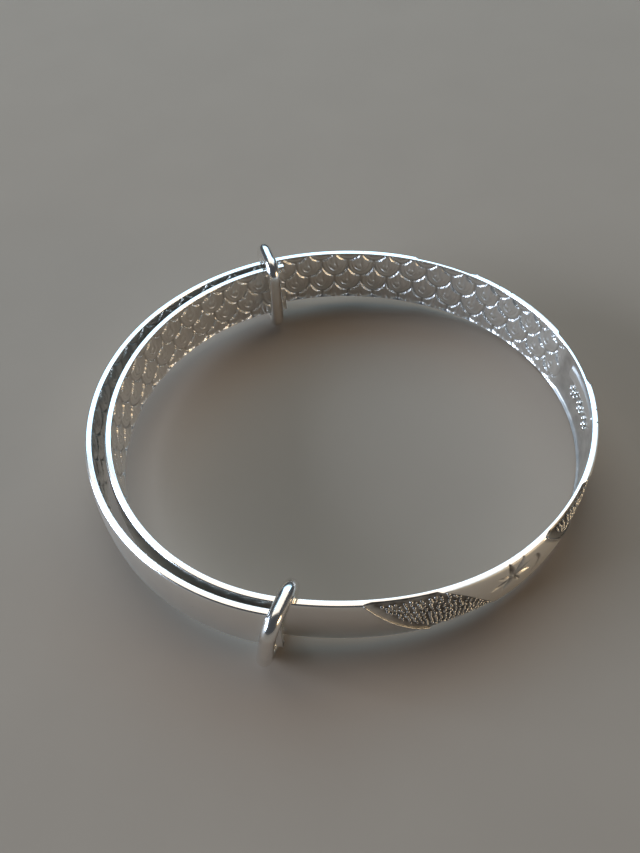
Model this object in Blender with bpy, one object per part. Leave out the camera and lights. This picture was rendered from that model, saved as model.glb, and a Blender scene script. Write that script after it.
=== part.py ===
"""Expandable bangle bracelet.

One flat springy strip is wound about one and a half times round the wrist. Its two ends lie side by
side over the left half: the outer arm comes round from the back, the inner arm from the front. Each
end carries a ring of thick wire that also holds the other layer, so the ends slide along each other
and the bangle opens. The strip bends all along its length. Here it is a chain of short rigid
segments with a narrow slot between neighbours, and each slot's middle is a flexure axis along Z.

Metres, +Z up. The origin is on the bangle's axis, level with the lowest points of the two rings.
"""
import math

import bmesh
import bpy
from mathutils import Quaternion, Vector

# Strip cross-section
STRIP_WIDTH = 0.0084
STRIP_THICKNESS = 0.00105
SHOULDER_HEIGHT = 0.0016
SHOULDER_DEPTH = 0.00030
SHOULDER_STEPS = 3

# Outline of the strip's outer face seen from above: a circle pulled slightly out of round. Its
# centre is set so that the finished bangle, rings included, is centred on the origin.
OUTLINE_RADIUS = 0.0300
OVAL_AMOUNT = 0.055
OVAL_ANGLE = math.radians(11.0)
TREFOIL_AMOUNT = 0.006
TREFOIL_ANGLE = math.radians(3.0)
OUTLINE_CENTRE = Vector((-0.00017, 0.00066, 0.0))

# Azimuth where each arm ends, measured from the strip's middle on +X
OUTER_ARM_ANGLE = math.radians(257.5)
INNER_ARM_ANGLE = math.radians(252.0)

# The inner arm steps in behind the outer arm before it enters the front ring, then stands off it
STEP_IN = 0.00150
STEP_START = math.radians(45.0)
STEP_END = math.radians(103.0)
STAND_OFF = 0.00085

# Flexure axes
HINGES_PER_ARM = 6
SLOT_WIDTH = 0.00030
STATIONS_PER_SEGMENT = 12

# Rings
WIRE_RADIUS = 0.00090
FRONT_RING_ANGLE = math.radians(256.2)
BACK_RING_ANGLE = math.radians(112.0)
FRONT_RING_SKEW = math.radians(14.0)
FRONT_RING_LEAN = math.radians(8.0)
RING_SIDE_CLEARANCE = 0.00070
RING_EDGE_CLEARANCE = 0.00030
RING_CORNER_RADIUS = 0.00200
CORNER_STEPS = 6
WIRE_SIDES = 12

RING_OPENING_HALF_HEIGHT = STRIP_WIDTH / 2 + RING_EDGE_CLEARANCE
MID_HEIGHT = RING_OPENING_HALF_HEIGHT + 2 * WIRE_RADIUS
STRIP_BOTTOM = MID_HEIGHT - STRIP_WIDTH / 2

SILVER = (0.80, 0.79, 0.77, 1.0)


def clear_scene():
    for item in list(bpy.data.objects):
        bpy.data.objects.remove(item, do_unlink=True)


def silver(name, roughness):
    material = bpy.data.materials.new(name)
    material.use_nodes = True
    shader = material.node_tree.nodes["Principled BSDF"]
    shader.inputs["Base Color"].default_value = SILVER
    shader.inputs["Metallic"].default_value = 1.0
    shader.inputs["Roughness"].default_value = roughness
    return material


def add_object(name, mesh, material, location=(0.0, 0.0, 0.0)):
    mesh.materials.append(material)
    mesh.shade_smooth()
    mesh.set_sharp_from_angle(angle=math.radians(35.0))
    item = bpy.data.objects.new(name, mesh)
    item.location = location
    bpy.context.scene.collection.objects.link(item)
    return item


def smooth_step(value, start, end):
    part = min(max((value - start) / (end - start), 0.0), 1.0)
    return part * part * (3.0 - 2.0 * part)


def outline_radius(azimuth):
    """Distance from the axis to the outer face of the outer layer."""
    oval = OVAL_AMOUNT * math.cos(2.0 * (azimuth - OVAL_ANGLE))
    trefoil = TREFOIL_AMOUNT * math.cos(3.0 * (azimuth - TREFOIL_ANGLE))
    return OUTLINE_RADIUS * (1.0 + oval + trefoil)


def inner_arm_inset(wound):
    """How far the inner arm lies inside the outline, at an angle wound from the strip's middle."""
    step = STEP_IN * smooth_step(wound, STEP_START, STEP_END)
    between_rings = min(max((wound - STEP_END) / (INNER_ARM_ANGLE - STEP_END), 0.0), 1.0)
    return step + STAND_OFF * math.sin(math.pi * between_rings) ** 2


def face_point(side, wound):
    """A point on the strip's outer face: side is +1 on the outer arm and -1 on the inner arm."""
    azimuth = side * wound
    radius = outline_radius(azimuth)
    if side < 0:
        radius -= inner_arm_inset(wound)
    return OUTLINE_CENTRE + Vector((radius * math.cos(azimuth), radius * math.sin(azimuth), 0.0))


def outward(side, wound):
    """The unit normal of the strip's outer face."""
    nudge = 1e-4
    ahead = face_point(side, wound + nudge)
    behind = face_point(side, wound - nudge)
    along = (ahead - behind).normalized() * side
    return Vector((along.y, -along.x, 0.0))


def hinge_angles(arm_angle):
    """Angles wound from the strip's middle to each flexure axis, evenly spaced."""
    spacing = arm_angle / (HINGES_PER_ARM + 0.5)
    return [spacing * (index + 0.5) for index in range(HINGES_PER_ARM)]


def hinge_point(side, wound):
    return face_point(side, wound) - outward(side, wound) * (STRIP_THICKNESS / 2)


def strip_profile():
    """Cross-section as (depth behind the outer face, height), flat inside and rounded outside."""
    points = [(STRIP_THICKNESS, 0.0), (STRIP_THICKNESS, STRIP_WIDTH)]
    for index in range(SHOULDER_STEPS + 1):
        turn = math.pi / 2 * index / SHOULDER_STEPS
        depth = SHOULDER_DEPTH * (1.0 - math.sin(turn))
        height = STRIP_WIDTH - SHOULDER_HEIGHT * (1.0 - math.cos(turn))
        points.append((depth, height))
    lower = [(depth, STRIP_WIDTH - height) for depth, height in reversed(points[2:])]
    return points + lower


def signed_stations(start, end):
    """Angles from start to end, positive on the outer arm and negative on the inner arm."""
    step = (end - start) / STATIONS_PER_SEGMENT
    return [start + step * index for index in range(STATIONS_PER_SEGMENT + 1)]


def segment_mesh(name, start, end):
    """Strip between two signed angles, as cross-sections joined by quads and closed at both ends."""
    shape = bmesh.new()
    profile = strip_profile()
    sections = []
    for angle in signed_stations(start, end):
        side = 1 if angle >= 0.0 else -1
        point = face_point(side, abs(angle))
        normal = outward(side, abs(angle))
        section = []
        for depth, height in profile:
            place = point - normal * depth
            section.append(shape.verts.new((place.x, place.y, STRIP_BOTTOM + height)))
        sections.append(section)
    for first, second in zip(sections, sections[1:]):
        for index in range(len(profile)):
            following = (index + 1) % len(profile)
            shape.faces.new((first[index], second[index], second[following], first[following]))
    shape.faces.new(sections[0])
    shape.faces.new(list(reversed(sections[-1])))
    bmesh.ops.recalc_face_normals(shape, faces=shape.faces)
    mesh = bpy.data.meshes.new(name)
    shape.to_mesh(mesh)
    shape.free()
    return mesh


def place_on_axis(item, axis_point):
    """Move an object's origin to its flexure axis and leave its shape where it is."""
    for vertex in item.data.vertices:
        vertex.co -= axis_point
    item.location = axis_point


def add_strip():
    finish = silver("polished_strip", 0.16)
    outer_hinges = hinge_angles(OUTER_ARM_ANGLE)
    inner_hinges = hinge_angles(INNER_ARM_ANGLE)
    slot = SLOT_WIDTH / 2 / OUTLINE_RADIUS
    middle = segment_mesh("strip_middle", slot - inner_hinges[0], outer_hinges[0] - slot)
    add_object("strip_middle", middle, finish)
    arms = (("outer", 1, outer_hinges, OUTER_ARM_ANGLE), ("inner", -1, inner_hinges, INNER_ARM_ANGLE))
    for arm, side, hinges, arm_angle in arms:
        ends = [hinge - slot for hinge in hinges[1:]] + [arm_angle]
        for index, (hinge, end) in enumerate(zip(hinges, ends)):
            name = f"strip_{arm}_{index + 1}"
            start = hinge + slot
            low, high = sorted((side * start, side * end))
            item = add_object(name, segment_mesh(name, low, high), finish.copy())
            place_on_axis(item, hinge_point(side, hinge))


def ring_path(half_width, half_height):
    """Centre line of the wire: a rectangle with well rounded corners, as (across, up, tangent angle)."""
    points = []
    corners = ((1, 1, 0.0), (-1, 1, math.pi / 2), (-1, -1, math.pi), (1, -1, 1.5 * math.pi))
    for across_side, up_side, first_turn in corners:
        across_centre = across_side * (half_width - RING_CORNER_RADIUS)
        up_centre = up_side * (half_height - RING_CORNER_RADIUS)
        for index in range(CORNER_STEPS + 1):
            turn = first_turn + math.pi / 2 * index / CORNER_STEPS
            across = across_centre + RING_CORNER_RADIUS * math.cos(turn)
            up = up_centre + RING_CORNER_RADIUS * math.sin(turn)
            points.append((across, up, turn))
    return points


def ring_mesh(name, centre, across_direction, up_direction, half_width):
    """Closed loop of round wire that stands round both layers."""
    shape = bmesh.new()
    side_direction = across_direction.cross(up_direction)
    loops = []
    for across, up, turn in ring_path(half_width, RING_OPENING_HALF_HEIGHT + WIRE_RADIUS):
        middle = centre + across_direction * across + up_direction * up
        away = across_direction * math.cos(turn) + up_direction * math.sin(turn)
        loop = []
        for index in range(WIRE_SIDES):
            spin = 2.0 * math.pi * index / WIRE_SIDES
            offset = away * math.cos(spin) + side_direction * math.sin(spin)
            loop.append(shape.verts.new(middle + offset * WIRE_RADIUS))
        loops.append(loop)
    for first, second in zip(loops, loops[1:] + loops[:1]):
        for index in range(WIRE_SIDES):
            following = (index + 1) % WIRE_SIDES
            shape.faces.new((first[index], first[following], second[following], second[index]))
    bmesh.ops.recalc_face_normals(shape, faces=shape.faces)
    mesh = bpy.data.meshes.new(name)
    shape.to_mesh(mesh)
    shape.free()
    return mesh


def add_ring(name, side, wound, skew, lean):
    """A ring fixed to one arm at an angle wound along it, round the layer of the other arm too."""
    other_wound = 2.0 * math.pi - wound
    outer_wound, inner_wound = (wound, other_wound) if side > 0 else (other_wound, wound)
    outer_face = face_point(1, outer_wound)
    inner_face = face_point(-1, inner_wound) - outward(-1, inner_wound) * STRIP_THICKNESS
    stack = (outer_face - inner_face).length
    across_direction = outward(side, wound)
    across_direction.rotate(Quaternion((0.0, 0.0, 1.0), skew))
    up_direction = Vector((0.0, 0.0, 1.0))
    up_direction.rotate(Quaternion(across_direction, lean))
    centre = (outer_face + inner_face) / 2 + Vector((0.0, 0.0, MID_HEIGHT))
    half_width = stack / 2 + RING_SIDE_CLEARANCE + WIRE_RADIUS
    wire = ring_mesh(name, centre, across_direction, up_direction, half_width)
    item = add_object(name, wire, silver(f"{name}_wire", 0.12))
    arm_angle = OUTER_ARM_ANGLE if side > 0 else INNER_ARM_ANGLE
    place_on_axis(item, hinge_point(side, hinge_angles(arm_angle)[-1]))


def main():
    clear_scene()
    add_strip()
    add_ring("front_ring", 1, FRONT_RING_ANGLE, -FRONT_RING_SKEW, -FRONT_RING_LEAN)
    add_ring("back_ring", -1, 2.0 * math.pi - BACK_RING_ANGLE, 0.0, 0.0)


main()
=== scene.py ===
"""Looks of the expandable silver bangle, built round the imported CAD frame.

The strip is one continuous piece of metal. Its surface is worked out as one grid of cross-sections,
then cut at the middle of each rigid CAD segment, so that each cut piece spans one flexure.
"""
import math

import bpy
import numpy as np
from mathutils import Matrix, Vector


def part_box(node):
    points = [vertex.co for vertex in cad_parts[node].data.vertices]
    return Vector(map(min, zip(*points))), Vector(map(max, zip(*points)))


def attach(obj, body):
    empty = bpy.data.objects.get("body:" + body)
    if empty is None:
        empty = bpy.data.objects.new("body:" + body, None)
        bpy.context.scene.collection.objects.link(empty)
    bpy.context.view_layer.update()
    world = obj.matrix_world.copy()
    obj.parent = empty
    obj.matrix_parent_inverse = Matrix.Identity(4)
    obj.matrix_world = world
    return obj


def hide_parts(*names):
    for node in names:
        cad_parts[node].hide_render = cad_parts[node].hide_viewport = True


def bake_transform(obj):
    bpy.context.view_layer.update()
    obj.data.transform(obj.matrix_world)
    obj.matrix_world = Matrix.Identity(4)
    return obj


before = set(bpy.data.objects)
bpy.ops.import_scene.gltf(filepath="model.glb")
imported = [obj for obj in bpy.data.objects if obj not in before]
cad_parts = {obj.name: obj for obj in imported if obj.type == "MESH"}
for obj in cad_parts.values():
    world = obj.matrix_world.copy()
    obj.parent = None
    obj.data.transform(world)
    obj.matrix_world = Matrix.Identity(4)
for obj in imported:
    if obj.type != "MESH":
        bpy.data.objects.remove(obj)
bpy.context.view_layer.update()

MM = 0.001

# Route of the strip's outer face, the same formula as the CAD model's
OUTLINE_RADIUS = 30.0 * MM
OVAL_AMOUNT = 0.055
OVAL_ANGLE = math.radians(11.0)
TREFOIL_AMOUNT = 0.006
TREFOIL_ANGLE = math.radians(3.0)
OUTLINE_CENTRE = np.array([-0.17 * MM, 0.66 * MM])
OUTER_ARM_ANGLE = math.radians(257.5)
INNER_ARM_ANGLE = math.radians(252.0)
STEP_IN = 1.50 * MM
STEP_START = math.radians(45.0)
STEP_END = math.radians(103.0)
STAND_OFF = 0.85 * MM
HINGES_PER_ARM = 6

# Cross-section
THICKNESS = 1.05 * MM
SHOULDER_HEIGHT = 0.9 * MM
SHOULDER_DEPTH = 0.12 * MM
CROWN = 0.24 * MM
EDGE_RADIUS = 0.09 * MM
FACE_ROWS = 62
RIM_ROWS = 4
CORNER_ROWS = 3
STATION_SPACING = 0.135 * MM
RELIEF_FADE = 0.35 * MM
LEAST_RIM = 0.2 * MM
RIM_STEP = 0.01 * MM

# Finish: 0 is bright and polished, 1 is satin; the last value is how strongly painted shade darkens the
# inner face's hollows
OUTER_SATIN = 0.42
INNER_SATIN = 0.55
LEAF_SATIN = 0.5
INNER_HOLLOW_SHADE = 0.5

# Colours and surface finish of the materials
BRIGHT_SILVER = (0.93, 0.92, 0.89)
# Painted shade: the dark colour that the strip's hollows and grain bases are mixed towards
PAINTED_SHADE_COLOUR = (0.16, 0.14, 0.12)
WIRE_BRIGHT = (0.94, 0.93, 0.90)
WIRE_WORN = (0.84, 0.82, 0.79)
FLOOR_DARK = (0.33, 0.27, 0.215)
FLOOR_PALE = (0.36, 0.295, 0.235)
POLISHED_ROUGHNESS = 0.07
SATIN_ROUGHNESS = 0.50
SCRATCH_ROUGHNESS = 0.10
SCRATCH_SCALE = (900.0, 9000.0, 4000.0)
BUMP_DEPTH = 0.02 * MM

# Embossed scales inside, in millimetres
SCALE_PITCH = 3.9
SCALE_ROW_DROP = 2.9
SCALE_HALF_WIDTH = 2.02
SCALE_DROP = 2.35
FIRST_ROW_HEIGHT = 9.3
SCALE_ROWS = 4
EMBOSS_DEPTH = 0.36
DOME = 0.70
RIPPLE = 0.09
RIPPLE_PITCH = 0.225
RIPPLE_START = 0.45
CURL = 0.32
CURL_RADIUS = 0.24
CURL_WIDTH = 0.06
LIP_WIDTH = 0.10
PLAIN_START = math.radians(-34.0)
PLAIN_END = math.radians(19.0)
PLAIN_FADE = 1.2

# Plain panel inside, with a raised bar and three rosettes, in millimetres
PANEL_GROUND = 0.90
BAR_CENTRE = 3.0
BAR_HALF_LENGTH = 4.6
BAR_HEIGHT = 6.25
BAR_HALF_WIDTH = 0.80
BAR_SLANT = 0.05
BAR_EDGE = 0.22
ROSETTE_CENTRES = (0.4, 3.0, 5.6)
ROSETTE_HEIGHT = 4.0
ROSETTE_RADIUS = 0.72
ROSETTE_BEADS = 5
ROSETTE_BEAD_RADIUS = 0.36
ROSETTE_HUB_RADIUS = 0.30

# Engraved pattern outside: a granulated leaf and a cut flower, repeated round the front
MOTIF_STARTS = (-84.8, -39.7, 5.4, 50.5)
LEAF_LEFT_RUN = 17.0
LEAF_LEFT_POWER = 1.4
LEAF_WIDTH = 17.6
LEAF_RIGHT_RUN = 15.5
LEAF_RIGHT_POWER = 1.5
LEAF_DEPTH = 0.30
RIDGE_RISE = 0.15
FLOWER_OFFSET = 35.8
FLOWER_HEIGHT = 5.5
PETALS = (
    (-13, 2.8, 0.42), (30, 2.6, 0.34), (68, 3.3, 0.40), (106, 3.3, 0.40),
    (150, 2.6, 0.34), (197, 3.0, 0.42), (243, 2.5, 0.40), (303, 2.2, 0.32),
)
PETAL_DEPTH = 0.38
ARC_CENTRE = (1.6, -0.8)
ARC_SQUASH = 0.9
ARC_RADIUS = 2.5
ARC_WIDTH = 0.13
ARC_DEPTH = 0.20
ARC_SIDE = (3.0, 3.6)
BEAD_SPACING = 0.67
BEAD_RADIUS = 0.25
BEAD_SEED = 7
BEAD_ROW_RATIO = 0.87
BEAD_SIZE_RANGE = (0.72, 1.15)
FIRST_BEAD_HEIGHT = 0.35
LAST_BEAD_MARGIN = 0.2
LEAF_LEFT_MARGIN = 0.45
LEAF_RIGHT_MARGIN = 0.22
BEAD_SIDES = 8
BEAD_TILTS = (48.0, 95.0)
EDGE_BEAD_SPACING = 0.075
EDGE_BEAD_RADIUS = 0.13
EDGE_BEAD_MARGIN = 0.12

# Rings
WIRE_RADIUS = 0.90 * MM
WIRE_SHRINK = 0.995
RING_CORNER = 1.8 * MM
RING_STATIONS = 160
WIRE_SIDES = 32

# Table, lights (name, direction, distance, size, power, colour) and camera
FLOOR_SIZE = 3.0
FLOOR_CELLS = 24
FLOOR_GAP = 0.05 * MM
LIGHTS = (
    ("back_window", (0.05, 0.74, 0.67), 0.60, (0.80, 0.34), 2.15, (0.50, 0.77, 1.0)),
    ("overhead_card", (0.0, 0.31, 0.95), 0.60, (0.80, 0.30), 1.0, (1.0, 0.91, 0.80)),
    ("left_window", (-0.96, -0.12, 0.26), 1.00, (0.68, 0.36), 12.5, (0.66, 0.80, 1.0)),
    ("warm_fill", (0.90, -0.40, 0.22), 1.20, (0.52, 0.28), 2.8, (1.0, 0.74, 0.44)),
)
WORLD_COLOUR = (0.34, 0.36, 0.40, 1.0)
WORLD_STRENGTH = 0.16
CAMERA_PITCH = math.radians(53.285)
CAMERA_YAW = math.radians(-2.414)
CAMERA_ROLL = math.radians(-1.796)
CAMERA_DISTANCE = 2.0452 * OUTLINE_RADIUS
CAMERA_ABOVE_RIM = 2.5831 * OUTLINE_RADIUS
CAMERA_LENS = 33.76
CAMERA_SENSOR = 36.0

strip_low, strip_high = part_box("strip_middle")
STRIP_BOTTOM = strip_low.z
STRIP_WIDTH = strip_high.z - strip_low.z


# ---------------------------------------------------------------- route


def smooth_step(value, start, end):
    part = np.clip((value - start) / (end - start), 0.0, 1.0)
    return part * part * (3.0 - 2.0 * part)


def outline_radius(azimuth):
    oval = OVAL_AMOUNT * np.cos(2.0 * (azimuth - OVAL_ANGLE))
    trefoil = TREFOIL_AMOUNT * np.cos(3.0 * (azimuth - TREFOIL_ANGLE))
    return OUTLINE_RADIUS * (1.0 + oval + trefoil)


def inner_arm_inset(wound):
    between_rings = np.clip((wound - STEP_END) / (INNER_ARM_ANGLE - STEP_END), 0.0, 1.0)
    stand_off = STAND_OFF * np.sin(math.pi * between_rings) ** 2
    return STEP_IN * smooth_step(wound, STEP_START, STEP_END) + stand_off


def face_points(angle):
    """Points on the outer face at signed angles: positive on the outer arm, negative on the inner."""
    radius = outline_radius(angle) - np.where(angle < 0.0, inner_arm_inset(-angle), 0.0)
    return OUTLINE_CENTRE + np.stack([radius * np.cos(angle), radius * np.sin(angle)], axis=1)


def outward(angle):
    along = face_points(angle + 1e-4) - face_points(angle - 1e-4)
    along /= np.linalg.norm(along, axis=1)[:, None]
    return np.stack([along[:, 1], -along[:, 0]], axis=1)


TABLE_ANGLES = np.linspace(-INNER_ARM_ANGLE, OUTER_ARM_ANGLE, 8001)
table_steps = np.linalg.norm(np.diff(face_points(TABLE_ANGLES), axis=0), axis=1)
TABLE_LENGTHS = np.concatenate([[0.0], np.cumsum(table_steps)])
TABLE_LENGTHS -= np.interp(0.0, TABLE_ANGLES, TABLE_LENGTHS)


def length_at(angle):
    """Length along the strip from its middle, in metres."""
    return np.interp(angle, TABLE_ANGLES, TABLE_LENGTHS)


def angle_at(length):
    return np.interp(length, TABLE_LENGTHS, TABLE_ANGLES)


def hinge_angles(arm_angle):
    spacing = arm_angle / (HINGES_PER_ARM + 0.5)
    return [spacing * (index + 0.5) for index in range(HINGES_PER_ARM)]


# ---------------------------------------------------------------- relief, in millimetres


def hand_wobble(along, height, size):
    """Small slow shifts, so that stamped rows aren't machine regular."""
    return size * (np.sin(along * 0.83 + height * 0.9) + np.sin(along * 0.31 - height * 1.7 + 1.3)) / 2


def band(distance, centre, width):
    """A soft ridge of the given width across a distance field."""
    return np.exp(-((distance - centre) / width) ** 2)


def scale_relief(along, height):
    """How deep the inner face lies below its high points, for overlapping scales that hang down."""
    along = along + hand_wobble(along, height, 0.10)
    height = height + hand_wobble(along + 40.0, height, 0.06)
    level = 0.2 + 0.12 * np.sin(along * 5.1) * np.sin(height * 7.3 + along)
    taken = np.zeros(along.shape, bool)
    for row in range(SCALE_ROWS):
        shift = SCALE_PITCH / 2 if row % 2 else 0.0
        across = (along + shift + SCALE_PITCH / 2) % SCALE_PITCH - SCALE_PITCH / 2
        rise = height - (FIRST_ROW_HEIGHT - SCALE_ROW_DROP * row)
        hang = np.minimum(rise, 0.0) * SCALE_HALF_WIDTH / SCALE_DROP
        reach = np.hypot(across, hang) / SCALE_HALF_WIDTH
        inside = (reach < 1.0) & (rise < SCALE_ROW_DROP) & ~taken
        slope = 0.14 + 0.16 * np.clip((1.3 - rise) / 3.6, 0.0, 1.0)
        dome = DOME * (1.0 - reach ** 2)
        ripples = RIPPLE * (1.0 + np.cos(2.0 * math.pi * reach / RIPPLE_PITCH)) * (reach > RIPPLE_START)
        from_curl = np.hypot(across - 0.25, hang + 0.35) / SCALE_HALF_WIDTH
        curl = CURL * band(from_curl, CURL_RADIUS, CURL_WIDTH)
        lip = smooth_step(1.0 - reach, 0.0, LIP_WIDTH)
        body = (slope + dome - ripples - curl) * lip
        level = np.where(inside, body, level)
        taken |= inside
    return EMBOSS_DEPTH * (1.0 - np.clip(level, 0.0, 1.0))


def panel_relief(along, height):
    """The plain stretch inside: a satin ground with one long raised bar."""
    beyond_end = np.abs(along - BAR_CENTRE) - BAR_HALF_LENGTH
    beyond_side = np.abs(height - BAR_HEIGHT + BAR_SLANT * (along - BAR_CENTRE)) - BAR_HALF_WIDTH
    outside = np.hypot(np.maximum(beyond_end, 0.0), np.maximum(beyond_side, 0.0))
    bar = 1.0 - smooth_step(outside, 0.0, BAR_EDGE)
    crown = 1.0 - 0.30 * np.clip((beyond_side + BAR_HALF_WIDTH) / BAR_HALF_WIDTH, 0.0, 1.0) ** 2
    waves = 0.01 * np.sin(along * 2.1 + height * 1.3)
    return EMBOSS_DEPTH * (PANEL_GROUND - 0.85 * bar * crown) + waves


def inner_relief(along, height, angle):
    """Scales all round the inner face, except on the plain panel."""
    ends = PLAIN_FADE / OUTLINE_RADIUS * MM
    plain = smooth_step(angle, PLAIN_START - ends, PLAIN_START + ends)
    plain = plain * (1.0 - smooth_step(angle, PLAIN_END - ends, PLAIN_END + ends))
    return scale_relief(along, height) * (1.0 - plain) + panel_relief(along, height) * plain


def leaf_edges(start, height):
    """Where a leaf's left and right edges lie at a height, as lengths along the strip."""
    share = np.clip(height / (STRIP_WIDTH / MM), 1e-4, 1.0)
    left = start + LEAF_LEFT_RUN * (1.0 - share ** (1.0 / LEAF_LEFT_POWER))
    right = start + LEAF_WIDTH + LEAF_RIGHT_RUN * (1.0 - share) ** (1.0 / LEAF_RIGHT_POWER)
    return length_at(np.radians(left)) / MM, length_at(np.radians(right)) / MM


def leaf_distances(start, along, height):
    """Distances into a leaf from its left and right edges, positive inside."""
    nudge = 0.02
    left, right = leaf_edges(start, height)
    left_above, right_above = leaf_edges(start, height + nudge)
    left_slope = np.clip((left_above - left) / nudge, -6.0, 6.0)
    right_slope = np.clip((right_above - right) / nudge, -6.0, 6.0)
    from_left = (along - left) / np.sqrt(1.0 + left_slope ** 2)
    from_right = (right - along) / np.sqrt(1.0 + right_slope ** 2)
    return from_left, from_right


def flower_relief(along, height, centre):
    """Sharp V-shaped cuts that meet in a star, with one curved cut beside them."""
    depth = np.zeros(along.shape)
    for turn, length, half_width in PETALS:
        direction = math.radians(turn)
        out = (along - centre) * math.cos(direction) + (height - FLOWER_HEIGHT) * math.sin(direction)
        side = (height - FLOWER_HEIGHT) * math.cos(direction) - (along - centre) * math.sin(direction)
        share = np.clip((out - 0.12) / length, 0.0, 1.0)
        width = half_width * np.sin(math.pi * share ** 0.8) + 1e-6
        cut = np.clip(1.0 - np.abs(side) / width, 0.0, 1.0) * np.sin(math.pi * share) ** 0.5
        depth = np.maximum(depth, PETAL_DEPTH * cut)
    arc_across, arc_up = along - centre - ARC_CENTRE[0], height - FLOWER_HEIGHT - ARC_CENTRE[1]
    from_hub = np.hypot(arc_across, arc_up * ARC_SQUASH)
    facing = smooth_step(along - centre, *ARC_SIDE)
    return np.maximum(depth, ARC_DEPTH * band(from_hub, ARC_RADIUS, ARC_WIDTH) * facing)


def outer_relief(along, height):
    """How deep the outer face is cut, and where it is satin, for the decorated front."""
    depth = np.zeros(along.shape)
    satin = np.zeros(along.shape)
    for index, start in enumerate(MOTIF_STARTS):
        from_left, from_right = leaf_distances(start, along, height)
        ledge = 0.45 * smooth_step(from_left, -0.04, 0.16) + 0.55 * smooth_step(from_left, 0.16, 0.9)
        ground = ledge * smooth_step(from_right, 0.0, 0.16)
        depth = np.maximum(depth, LEAF_DEPTH * ground)
        depth -= RIDGE_RISE * band(from_left, -0.16, 0.13) * (from_right > -1.0)
        satin = np.maximum(satin, LEAF_SATIN * ground)
        if index + 1 < len(MOTIF_STARTS):
            next_left, _ = leaf_distances(MOTIF_STARTS[index + 1], along, height)
            between = smooth_step(-from_right, 0.0, 0.2) * smooth_step(-next_left, 0.3, 0.5)
            satin = np.maximum(satin, between)
            flower = length_at(math.radians(start + FLOWER_OFFSET)) / MM
            petals = flower_relief(along, height, flower) * between
            depth = np.maximum(depth, petals)
            satin = satin * (1.0 - 0.9 * np.clip(petals / 0.05, 0.0, 1.0))
    return depth, satin


# ---------------------------------------------------------------- strip surface


def shoulder_depth(height):
    """How far the outer face falls back from its middle towards its upper and lower edges."""
    from_edge = np.minimum(height, STRIP_WIDTH - height)
    share = np.clip(1.0 - from_edge / SHOULDER_HEIGHT, 0.0, 1.0)
    shoulder = SHOULDER_DEPTH * (1.0 - np.sqrt(np.maximum(1.0 - share ** 2, 0.0)))
    from_middle = 2.0 * height / STRIP_WIDTH - 1.0
    return shoulder + CROWN * from_middle ** 2


def corner(depth, height, first_turn):
    """Rows round one rounded corner, a quarter turn on from first_turn."""
    turns = first_turn + np.linspace(0.0, math.pi / 2, CORNER_ROWS + 2)[1:-1]
    return [(depth + EDGE_RADIUS * math.cos(t), height + EDGE_RADIUS * math.sin(t)) for t in turns]


def cross_section():
    """Rows round the strip as (depth, height, part), up the inside, over the rim and down outside."""
    low, high = EDGE_RADIUS, STRIP_WIDTH - EDGE_RADIUS
    back = THICKNESS - EDGE_RADIUS
    front = SHOULDER_DEPTH + CROWN + EDGE_RADIUS
    rows = [(THICKNESS, h, "inner") for h in np.linspace(low, high, FACE_ROWS)]
    rows += [(d, h, "rim") for d, h in corner(back, high, 0.0)]
    rows += [(d, STRIP_WIDTH, "rim") for d in np.linspace(back, front, RIM_ROWS)]
    rows += [(d, h, "edge") for d, h in corner(front, high, math.pi / 2)]
    rows += [(float(shoulder_depth(h)), h, "outer") for h in np.linspace(high, low, FACE_ROWS)]
    rows += [(d, h, "edge") for d, h in corner(front, low, math.pi)]
    rows += [(d, 0.0, "rim") for d in np.linspace(front, back, RIM_ROWS)]
    rows += [(d, h, "rim") for d, h in corner(back, low, 1.5 * math.pi)]
    return rows


def strip_surface(angles):
    """Points, normals, satin share and painted shade share of the whole strip, stations by rows."""
    rows = cross_section()
    depth = np.tile([row[0] for row in rows], (len(angles), 1))
    height = np.tile([row[1] for row in rows], (len(angles), 1))
    part = np.array([row[2] for row in rows])
    along = np.tile(length_at(angles)[:, None], (1, len(rows)))
    turn = np.tile(angles[:, None], (1, len(rows)))

    inner = part == "inner"
    relief = inner_relief(along[:, inner] / MM, height[:, inner] / MM, turn[:, inner])
    from_edge = np.minimum(height[:, inner], STRIP_WIDTH - height[:, inner])
    depth[:, inner] -= relief * MM * smooth_step(from_edge, EDGE_RADIUS, RELIEF_FADE)
    # Painted shade: the deepest parts of the inner relief are given a darker colour
    painted_shade = np.zeros(depth.shape)
    painted_shade[:, inner] = INNER_HOLLOW_SHADE * smooth_step(relief / EMBOSS_DEPTH, 0.6, 1.0)

    satin = np.zeros(depth.shape)
    cut, outer_satin = outer_relief(along / MM, height / MM)
    outer = part == "outer"
    outside = outer | (part == "edge")
    depth[:, outside] += cut[:, outside] * MM
    satin[:, outside] = outer_satin[:, outside]
    satin[:, outer] = np.maximum(outer_satin[:, outer], OUTER_SATIN)
    satin[:, inner] = INNER_SATIN
    # Painted shade: the cut leaf ground and flower cuts outside darken the deeper they are cut
    painted_shade[:, outside] = np.clip(cut[:, outside] / LEAF_DEPTH, 0.0, 1.0)
    deepest_cut = np.max(depth[:, part == "edge"], axis=1)[:, None]
    rim_start = np.minimum(deepest_cut + RIM_STEP, THICKNESS - LEAST_RIM)
    rim = part == "rim"
    depth[:, rim] = np.maximum(depth[:, rim], rim_start)

    middle = face_points(angles)
    normal = outward(angles)
    flat = middle[:, None, :] - normal[:, None, :] * depth[:, :, None]
    points = np.concatenate([flat, (STRIP_BOTTOM + height)[:, :, None]], axis=2)
    along_vector = np.gradient(points, axis=0)
    round_vector = np.roll(points, -1, axis=1) - np.roll(points, 1, axis=1)
    normals = np.cross(round_vector, along_vector)
    normals /= np.linalg.norm(normals, axis=2)[:, :, None]
    return points, normals, satin, painted_shade, along


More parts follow.
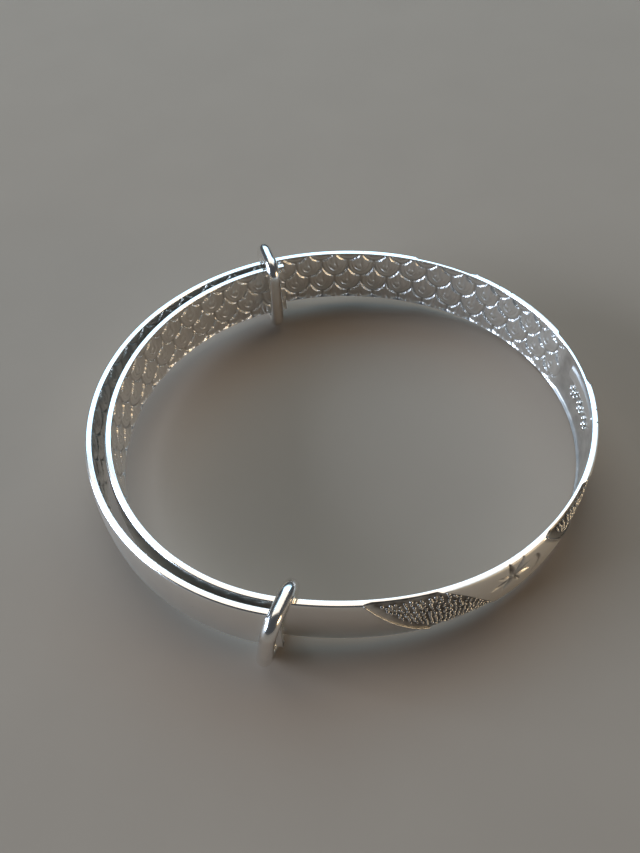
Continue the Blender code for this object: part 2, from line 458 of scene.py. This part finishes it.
def bead_shape():
    """A small round grain: a pole, two rings of points and a pole, on a unit sphere."""
    points = [(0.0, 0.0, 1.0)]
    for tilt in BEAD_TILTS:
        for index in range(BEAD_SIDES):
            turn = math.radians(360.0 / BEAD_SIDES * index + tilt / 2)
            flat = math.sin(math.radians(tilt))
            points.append((flat * math.cos(turn), flat * math.sin(turn), math.cos(math.radians(tilt))))
    points.append((0.0, 0.0, -1.0))
    upper, lower = 1, 1 + BEAD_SIDES
    last = len(points) - 1
    faces = []
    for index in range(BEAD_SIDES):
        following = (index + 1) % BEAD_SIDES
        faces.append((0, upper + index, upper + following))
        faces.append((upper + index, lower + index, lower + following, upper + following))
        faces.append((last, lower + following, lower + index))
    return np.array(points), faces


def leaf_beads():
    """Grains in every leaf, as (length, height, radius, depth of its ground) in millimetres."""
    rng = np.random.default_rng(BEAD_SEED)
    grains = []
    width = STRIP_WIDTH / MM
    for start in MOTIF_STARTS:
        low = length_at(math.radians(start)) / MM
        high = length_at(math.radians(start + LEAF_WIDTH + LEAF_RIGHT_RUN)) / MM
        height = FIRST_BEAD_HEIGHT
        row = 0
        while height < width - LAST_BEAD_MARGIN:
            size = 0.74 + 0.36 * height / width
            spacing = BEAD_SPACING * size
            places = np.arange(low, high, spacing) + (row % 2) * spacing / 2
            places = places + rng.uniform(-0.15, 0.15, len(places)) * size
            heights = height + rng.uniform(-0.11, 0.11, len(places)) * size
            from_left, from_right = leaf_distances(start, places, heights)
            left_margin = LEAF_LEFT_MARGIN + 0.5 * heights / width
            keep = (from_left > left_margin) & (from_right > LEAF_RIGHT_MARGIN)
            radii = BEAD_RADIUS * size * rng.uniform(*BEAD_SIZE_RANGE, len(places))
            sinks = shoulder_depth(heights[keep] * MM) / MM + LEAF_DEPTH
            grains += list(zip(places[keep], heights[keep], radii[keep], sinks))
            height += spacing * BEAD_ROW_RATIO
            row += 1
    return np.array(grains)


def edge_beads():
    """A tight row of fine grains that makes the bright raised line along each leaf's left edge."""
    heights = np.linspace(EDGE_BEAD_MARGIN, STRIP_WIDTH / MM - EDGE_BEAD_MARGIN, 400)
    grains = []
    for start in MOTIF_STARTS:
        left, _ = leaf_edges(start, heights)
        run = np.concatenate([[0.0], np.cumsum(np.hypot(np.diff(left), np.diff(heights)))])
        stops = np.arange(0.0, run[-1], EDGE_BEAD_SPACING)
        places = np.interp(stops, run, left)
        stop_heights = np.interp(stops, run, heights)
        sinks = shoulder_depth(stop_heights * MM) / MM
        grains += [(*grain, EDGE_BEAD_RADIUS, sink) for *grain, sink in zip(places, stop_heights, sinks)]
    return np.array(grains)


def panel_beads():
    """Three small rosettes under the raised bar inside."""
    grains = []
    sink = THICKNESS / MM - PANEL_GROUND * EMBOSS_DEPTH
    for centre in ROSETTE_CENTRES:
        grains.append((centre, ROSETTE_HEIGHT, ROSETTE_HUB_RADIUS, sink))
        for index in range(ROSETTE_BEADS):
            turn = 2.0 * math.pi * index / ROSETTE_BEADS
            length = centre + ROSETTE_RADIUS * math.cos(turn)
            height = ROSETTE_HEIGHT + ROSETTE_RADIUS * math.sin(turn)
            grains.append((length, height, ROSETTE_BEAD_RADIUS, sink))
    return np.array(grains)


def bead_geometry(grains, inside):
    """Vertices and normals of all grains, set on the relief they stand on."""
    template, faces = bead_shape()
    along, height, radius, sink = grains.T
    angles = angle_at(along * MM)
    normal_flat = outward(angles)
    facing = -1.0 if inside else 1.0
    flat = face_points(angles) - normal_flat * (sink * MM)[:, None]
    centre = np.column_stack([flat, STRIP_BOTTOM + height * MM])
    out = np.column_stack([normal_flat * facing, np.zeros(len(angles))])
    up = np.tile([0.0, 0.0, 1.0], (len(angles), 1))
    side = np.cross(up, out)
    spread = (
        template[None, :, 0:1] * side[:, None, :]
        + template[None, :, 1:2] * up[:, None, :]
        + template[None, :, 2:3] * out[:, None, :]
    )
    points = centre[:, None, :] + spread * (radius * MM)[:, None, None]
    return points, spread, faces


def build_mesh(name, points, normals, faces, satin, painted_shade, place):
    """A smooth mesh with its own normals, and the values that the silver's nodes read."""
    mesh = bpy.data.meshes.new(name)
    mesh.from_pydata(points.tolist(), [], faces)
    mesh.update()
    mesh.shade_smooth()
    mesh.normals_split_custom_set_from_vertices(normals.tolist())
    for label, values in (("satin", satin), ("painted_shade", painted_shade)):
        attribute = mesh.attributes.new(label, "FLOAT", "POINT")
        attribute.data.foreach_set("value", values.astype(np.float32))
    attribute = mesh.attributes.new("strip_place", "FLOAT_VECTOR", "POINT")
    attribute.data.foreach_set("vector", place.astype(np.float32).ravel())
    return mesh


def grid_faces(stations, rows):
    """Quads between neighbouring stations, with the rows joined into a loop."""
    station = np.arange(stations - 1)[:, None]
    row = np.arange(rows)[None, :]
    following = (row + 1) % rows
    first = station * rows + row
    second = station * rows + following
    quads = np.stack([first, second, second + rows, first + rows], axis=2)
    return quads.reshape(-1, 4).tolist()


def end_cap(first_vertex, rows, at_start):
    loop = [first_vertex + row for row in range(rows)]
    return list(reversed(loop)) if at_start else loop


def strip_cuts():
    """Angles where the strip is cut: its two ends, and halfway between neighbouring hinges."""
    hinges = [-angle for angle in reversed(hinge_angles(INNER_ARM_ANGLE))]
    hinges += hinge_angles(OUTER_ARM_ANGLE)
    middles = [(a + b) / 2 for a, b in zip(hinges, hinges[1:])]
    return [-INNER_ARM_ANGLE] + middles + [OUTER_ARM_ANGLE]


def strip_bodies():
    """Names of the bodies along the strip, from the inner arm's end to the outer arm's end."""
    inner = [f"inner_{n}" for n in range(HINGES_PER_ARM, 0, -1)]
    outer = [f"outer_{n}" for n in range(1, HINGES_PER_ARM + 1)]
    return inner + ["middle"] + outer


def strip_stations(cuts):
    """Angles of all stations, and each piece's first and last one. Neighbours share a station."""
    angles, spans = [], []
    for low, high in zip(cuts, cuts[1:]):
        low_length, high_length = length_at(low), length_at(high)
        count = int(math.ceil((high_length - low_length) / STATION_SPACING))
        first = len(angles)
        angles += list(angle_at(np.linspace(low_length, high_length, count + 1))[:-1])
        spans.append((first, first + count))
    return np.array(angles + [OUTER_ARM_ANGLE]), spans


def join_to_bodies(piece, index, bodies):
    """The piece lies over one hinge between two bodies and takes the place of their CAD segments."""
    body_a, body_b = bodies[index], bodies[index + 1]
    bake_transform(piece)
    outermost = body_a if index < HINGES_PER_ARM else body_b
    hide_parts(f"strip_{outermost}")
    if index == HINGES_PER_ARM:
        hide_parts("strip_middle")


def add_strip(material):
    cuts, bodies = strip_cuts(), strip_bodies()
    angles, spans = strip_stations(cuts)
    points, normals, satin, painted_shade, along = strip_surface(angles)
    rows = points.shape[1]

    outside_grains = np.concatenate([leaf_beads(), edge_beads()])
    grain_sets = []
    grain_rise = bead_shape()[0][:, 2]
    for grains, inside in ((outside_grains, False), (panel_beads(), True)):
        grain_points, grain_normals, grain_faces = bead_geometry(grains, inside)
        grain_sets.append((angle_at(grains[:, 0] * MM), grain_points, grain_normals, grain_faces))

    for index, (first, last) in enumerate(spans):
        chosen = slice(first, last + 1)
        stations = last + 1 - first
        piece_points = [points[chosen].reshape(-1, 3)]
        piece_normals = [normals[chosen].reshape(-1, 3)]
        piece_satin = [satin[chosen].ravel()]
        piece_painted_shade = [painted_shade[chosen].ravel()]
        piece_along = [along[chosen].ravel()]
        faces = grid_faces(stations, rows)
        if index == 0:
            faces.append(end_cap(0, rows, True))
        if index == len(spans) - 1:
            faces.append(end_cap((stations - 1) * rows, rows, False))
        base = stations * rows
        for grain_angles, grain_points, grain_normals, grain_faces in grain_sets:
            inside_piece = (grain_angles >= cuts[index]) & (grain_angles < cuts[index + 1])
            for grain in np.flatnonzero(inside_piece):
                piece_points.append(grain_points[grain])
                piece_normals.append(grain_normals[grain])
                piece_satin.append(np.zeros(len(grain_points[grain])))
                piece_along.append(np.full(len(grain_points[grain]), length_at(grain_angles[grain])))
                # Painted shade: each grain's colour darkens towards its base on the strip
                piece_painted_shade.append(np.clip(0.9 - grain_rise, 0.0, 1.0))
                faces += [tuple(base + corner_index for corner_index in face) for face in grain_faces]
                base += len(grain_points[grain])
        all_points = np.concatenate(piece_points)
        place = np.column_stack([
            np.concatenate(piece_along),
            all_points[:, 2] - STRIP_BOTTOM,
            np.linalg.norm(all_points[:, :2], axis=1),
        ])
        name = f"silver_strip_{index + 1:02d}"
        mesh = build_mesh(name, all_points, np.concatenate(piece_normals), faces,
                          np.concatenate(piece_satin), np.concatenate(piece_painted_shade), place)
        mesh.materials.append(material)
        piece = bpy.data.objects.new(name, mesh)
        bpy.context.scene.collection.objects.link(piece)
        join_to_bodies(piece, index, bodies)


# ---------------------------------------------------------------- rings


def ring_route(half_width, half_height):
    """Even stations round a rectangle with round corners: across, up and the outward turn."""
    straight_across = 2.0 * (half_width - RING_CORNER)
    straight_up = 2.0 * (half_height - RING_CORNER)
    arc = RING_CORNER * math.pi / 2
    total = 2.0 * (straight_across + straight_up) + 4.0 * arc
    stations = []
    for index in range(RING_STATIONS):
        run = total * index / RING_STATIONS
        turn = 0.0
        across, up = half_width, -straight_up / 2
        for side in range(4):
            straight = straight_up if side % 2 == 0 else straight_across
            direction = (-math.sin(turn), math.cos(turn))
            if run < straight:
                across += direction[0] * run
                up += direction[1] * run
                break
            across += direction[0] * straight
            up += direction[1] * straight
            run -= straight
            centre = (across - RING_CORNER * math.cos(turn), up - RING_CORNER * math.sin(turn))
            if run < arc:
                turn += run / RING_CORNER
                across = centre[0] + RING_CORNER * math.cos(turn)
                up = centre[1] + RING_CORNER * math.sin(turn)
                break
            turn += math.pi / 2
            run -= arc
            across = centre[0] + RING_CORNER * math.cos(turn)
            up = centre[1] + RING_CORNER * math.sin(turn)
        stations.append((across, up, turn))
    return stations


def ring_axes(node):
    """Centre, directions across and up the loop, and half sizes, from the CAD ring's own points."""
    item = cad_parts[node]
    cloud = np.array([item.matrix_world @ vertex.co for vertex in item.data.vertices])
    centre = cloud.mean(axis=0)
    _, directions = np.linalg.eigh(np.cov((cloud - centre).T))
    up, across = directions[:, 2], directions[:, 1]
    up = up * np.sign(up[2])
    half_height = np.abs((cloud - centre) @ up).max() - WIRE_RADIUS
    half_width = np.abs((cloud - centre) @ across).max() - WIRE_RADIUS
    return Vector(centre), Vector(across), Vector(up), half_width, half_height


def add_ring(node, body, material):
    """A loop of round wire in the CAD ring's place."""
    centre, across_direction, up_direction, half_width, half_height = ring_axes(node)
    side_direction = across_direction.cross(up_direction)
    points = []
    for across, up, turn in ring_route(half_width, half_height):
        middle = centre + across_direction * across + up_direction * up
        away = across_direction * math.cos(turn) + up_direction * math.sin(turn)
        for index in range(WIRE_SIDES):
            spin = 2.0 * math.pi * index / WIRE_SIDES
            offset = away * math.cos(spin) + side_direction * math.sin(spin)
            points.append(middle + offset * WIRE_RADIUS * WIRE_SHRINK)
    faces = grid_faces(RING_STATIONS, WIRE_SIDES)
    last = (RING_STATIONS - 1) * WIRE_SIDES
    for index in range(WIRE_SIDES):
        following = (index + 1) % WIRE_SIDES
        faces.append((last + index, last + following, following, index))
    mesh = bpy.data.meshes.new(f"{node}_wire")
    mesh.from_pydata([tuple(point) for point in points], [], faces)
    mesh.shade_smooth()
    mesh.materials.append(material)
    piece = bpy.data.objects.new(f"{node}_wire", mesh)
    bpy.context.scene.collection.objects.link(piece)
    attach(piece, body)
    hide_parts(node)


# ---------------------------------------------------------------- materials


def new_material(name):
    material = bpy.data.materials.new(name)
    material.use_nodes = True
    return material, material.node_tree, material.node_tree.nodes["Principled BSDF"]


def add_attribute(tree, name):
    node = tree.nodes.new("ShaderNodeAttribute")
    node.attribute_name = name
    return node


def add_noise(tree, place, scale, detail):
    node = tree.nodes.new("ShaderNodeTexNoise")
    node.inputs["Scale"].default_value = scale
    node.inputs["Detail"].default_value = detail
    tree.links.new(place, node.inputs["Vector"])
    return node.outputs["Fac"]


def add_range(tree, value, low, high):
    """Turns a value that goes from 0 to 1 into one that goes from low to high."""
    node = tree.nodes.new("ShaderNodeMapRange")
    node.inputs["To Min"].default_value = low
    node.inputs["To Max"].default_value = high
    tree.links.new(value, node.inputs["Value"])
    return node


def add_tint(tree, shader, factor, colour_a, colour_b):
    """Base colour that goes from colour_a to colour_b with the factor."""
    node = tree.nodes.new("ShaderNodeMix")
    node.data_type = "RGBA"
    node.inputs["A"].default_value = (*colour_a, 1.0)
    node.inputs["B"].default_value = (*colour_b, 1.0)
    tree.links.new(factor, node.inputs["Factor"])
    tree.links.new(node.outputs["Result"], shader.inputs["Base Color"])


def add_bump(tree, shader, height, strength):
    node = tree.nodes.new("ShaderNodeBump")
    node.inputs["Strength"].default_value = strength
    node.inputs["Distance"].default_value = BUMP_DEPTH
    tree.links.new(height, node.inputs["Height"])
    tree.links.new(node.outputs["Normal"], shader.inputs["Normal"])


def strip_silver():
    """Silver with fine scratches along the strip, duller where satin, and darkened by painted shade in
    its hollows.
    """
    material, tree, shader = new_material("engraved_silver")
    shader.inputs["Metallic"].default_value = 1.0
    place = add_attribute(tree, "strip_place").outputs["Vector"]
    satin = add_attribute(tree, "satin").outputs["Fac"]
    painted_shade = add_attribute(tree, "painted_shade").outputs["Fac"]

    stretch = tree.nodes.new("ShaderNodeMapping")
    stretch.inputs["Scale"].default_value = SCRATCH_SCALE
    tree.links.new(place, stretch.inputs["Vector"])
    scratches = add_noise(tree, stretch.outputs["Vector"], 1.0, 4.0)

    # Painted shade in the hollows, made patchy by noise, darkens the base colour
    patchy = add_range(tree, add_noise(tree, place, 700.0, 3.0), 0.55, 0.95)
    patchy.inputs["From Min"].default_value = 0.35
    patchy.inputs["From Max"].default_value = 0.65
    shade = tree.nodes.new("ShaderNodeMath")
    shade.operation = "MULTIPLY"
    tree.links.new(painted_shade, shade.inputs[0])
    tree.links.new(patchy.outputs["Result"], shade.inputs[1])
    add_tint(tree, shader, shade.outputs["Value"], BRIGHT_SILVER, PAINTED_SHADE_COLOUR)

    rough = add_range(tree, satin, POLISHED_ROUGHNESS, SATIN_ROUGHNESS)
    vary = tree.nodes.new("ShaderNodeMath")
    vary.operation = "MULTIPLY_ADD"
    vary.inputs[1].default_value = SCRATCH_ROUGHNESS
    tree.links.new(scratches, vary.inputs[0])
    tree.links.new(rough.outputs["Result"], vary.inputs[2])
    tree.links.new(vary.outputs["Value"], shader.inputs["Roughness"])
    add_bump(tree, shader, scratches, 0.12)
    return material


def ring_silver():
    material, tree, shader = new_material("wire_silver")
    shader.inputs["Metallic"].default_value = 1.0
    place = tree.nodes.new("ShaderNodeTexCoord").outputs["Object"]
    wear = add_noise(tree, place, 900.0, 4.0)
    add_tint(tree, shader, wear, WIRE_BRIGHT, WIRE_WORN)
    rough = add_range(tree, wear, 0.12, 0.26)
    tree.links.new(rough.outputs["Result"], shader.inputs["Roughness"])
    add_bump(tree, shader, wear, 0.15)
    return material


def floor_material():
    material, tree, shader = new_material("pale_floor")
    place = tree.nodes.new("ShaderNodeTexCoord").outputs["Object"]
    add_tint(tree, shader, add_noise(tree, place, 60.0, 5.0), FLOOR_DARK, FLOOR_PALE)
    shader.inputs["Roughness"].default_value = 0.60
    shader.inputs["Specular IOR Level"].default_value = 0.10
    return material


# ---------------------------------------------------------------- stage


def add_floor():
    """The table top, tilted to touch both rings and the strip's lower edge at the decorated side."""
    contacts = []
    for node in ("front_ring", "back_ring"):
        low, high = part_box(node)
        contacts.append(Vector(((low.x + high.x) / 2, (low.y + high.y) / 2, low.z)))
    contacts.append(Vector((strip_high.x, (strip_low.y + strip_high.y) / 2, strip_low.z)))
    up = (contacts[1] - contacts[0]).cross(contacts[2] - contacts[0]).normalized()
    if up.z < 0.0:
        up.negate()
    bpy.ops.mesh.primitive_grid_add(
        size=FLOOR_SIZE, x_subdivisions=FLOOR_CELLS, y_subdivisions=FLOOR_CELLS)
    floor = bpy.context.object
    floor.name = "floor"
    floor.rotation_mode = "QUATERNION"
    floor.rotation_quaternion = up.to_track_quat("Z", "Y")
    floor.location = contacts[0] - up * FLOOR_GAP
    floor.data.materials.append(floor_material())


def add_area_light(name, direction, distance, size, power, colour):
    light = bpy.data.lights.new(name, "AREA")
    light.shape = "RECTANGLE"
    light.size, light.size_y = size
    light.energy = power
    light.color = colour
    item = bpy.data.objects.new(name, light)
    place = Vector(direction).normalized() * distance
    item.location = place
    item.rotation_mode = "QUATERNION"
    item.rotation_quaternion = (-place).to_track_quat("-Z", "Y")
    bpy.context.scene.collection.objects.link(item)


def add_lights():
    for name, direction, distance, size, power, colour in LIGHTS:
        add_area_light(name, direction, distance, size, power, colour)
    world = bpy.data.worlds.new("studio")
    world.use_nodes = True
    background = world.node_tree.nodes["Background"]
    background.inputs["Color"].default_value = WORLD_COLOUR
    background.inputs["Strength"].default_value = WORLD_STRENGTH
    bpy.context.scene.world = world


def add_camera():
    """A close view from in front and above, a little rolled, as from a hand-held phone."""
    level = Vector((math.sin(CAMERA_YAW), math.cos(CAMERA_YAW), 0.0))
    forward = level * math.cos(CAMERA_PITCH) - Vector((0.0, 0.0, math.sin(CAMERA_PITCH)))
    right = Vector((math.cos(CAMERA_YAW), -math.sin(CAMERA_YAW), 0.0))
    up = right.cross(forward)
    rolled_right = right * math.cos(CAMERA_ROLL) + up * math.sin(CAMERA_ROLL)
    rolled_up = up * math.cos(CAMERA_ROLL) - right * math.sin(CAMERA_ROLL)
    camera = bpy.data.cameras.new("camera")
    camera.sensor_width = CAMERA_SENSOR
    camera.lens = CAMERA_LENS
    camera.clip_start = 0.005
    camera.clip_end = 10.0
    item = bpy.data.objects.new("camera", camera)
    item.matrix_world = Matrix((
        (rolled_right.x, rolled_up.x, -forward.x, OUTLINE_CENTRE[0]),
        (rolled_right.y, rolled_up.y, -forward.y, OUTLINE_CENTRE[1] - CAMERA_DISTANCE),
        (rolled_right.z, rolled_up.z, -forward.z, STRIP_BOTTOM + STRIP_WIDTH + CAMERA_ABOVE_RIM),
        (0.0, 0.0, 0.0, 1.0),
    ))
    bpy.context.scene.collection.objects.link(item)
    bpy.context.scene.camera = item


add_camera()
add_strip(strip_silver())
wire_finish = ring_silver()
add_ring("front_ring", "outer_6", wire_finish)
add_ring("back_ring", "inner_6", wire_finish)
add_floor()
add_lights()
bpy.context.scene.view_settings.view_transform = "Standard"
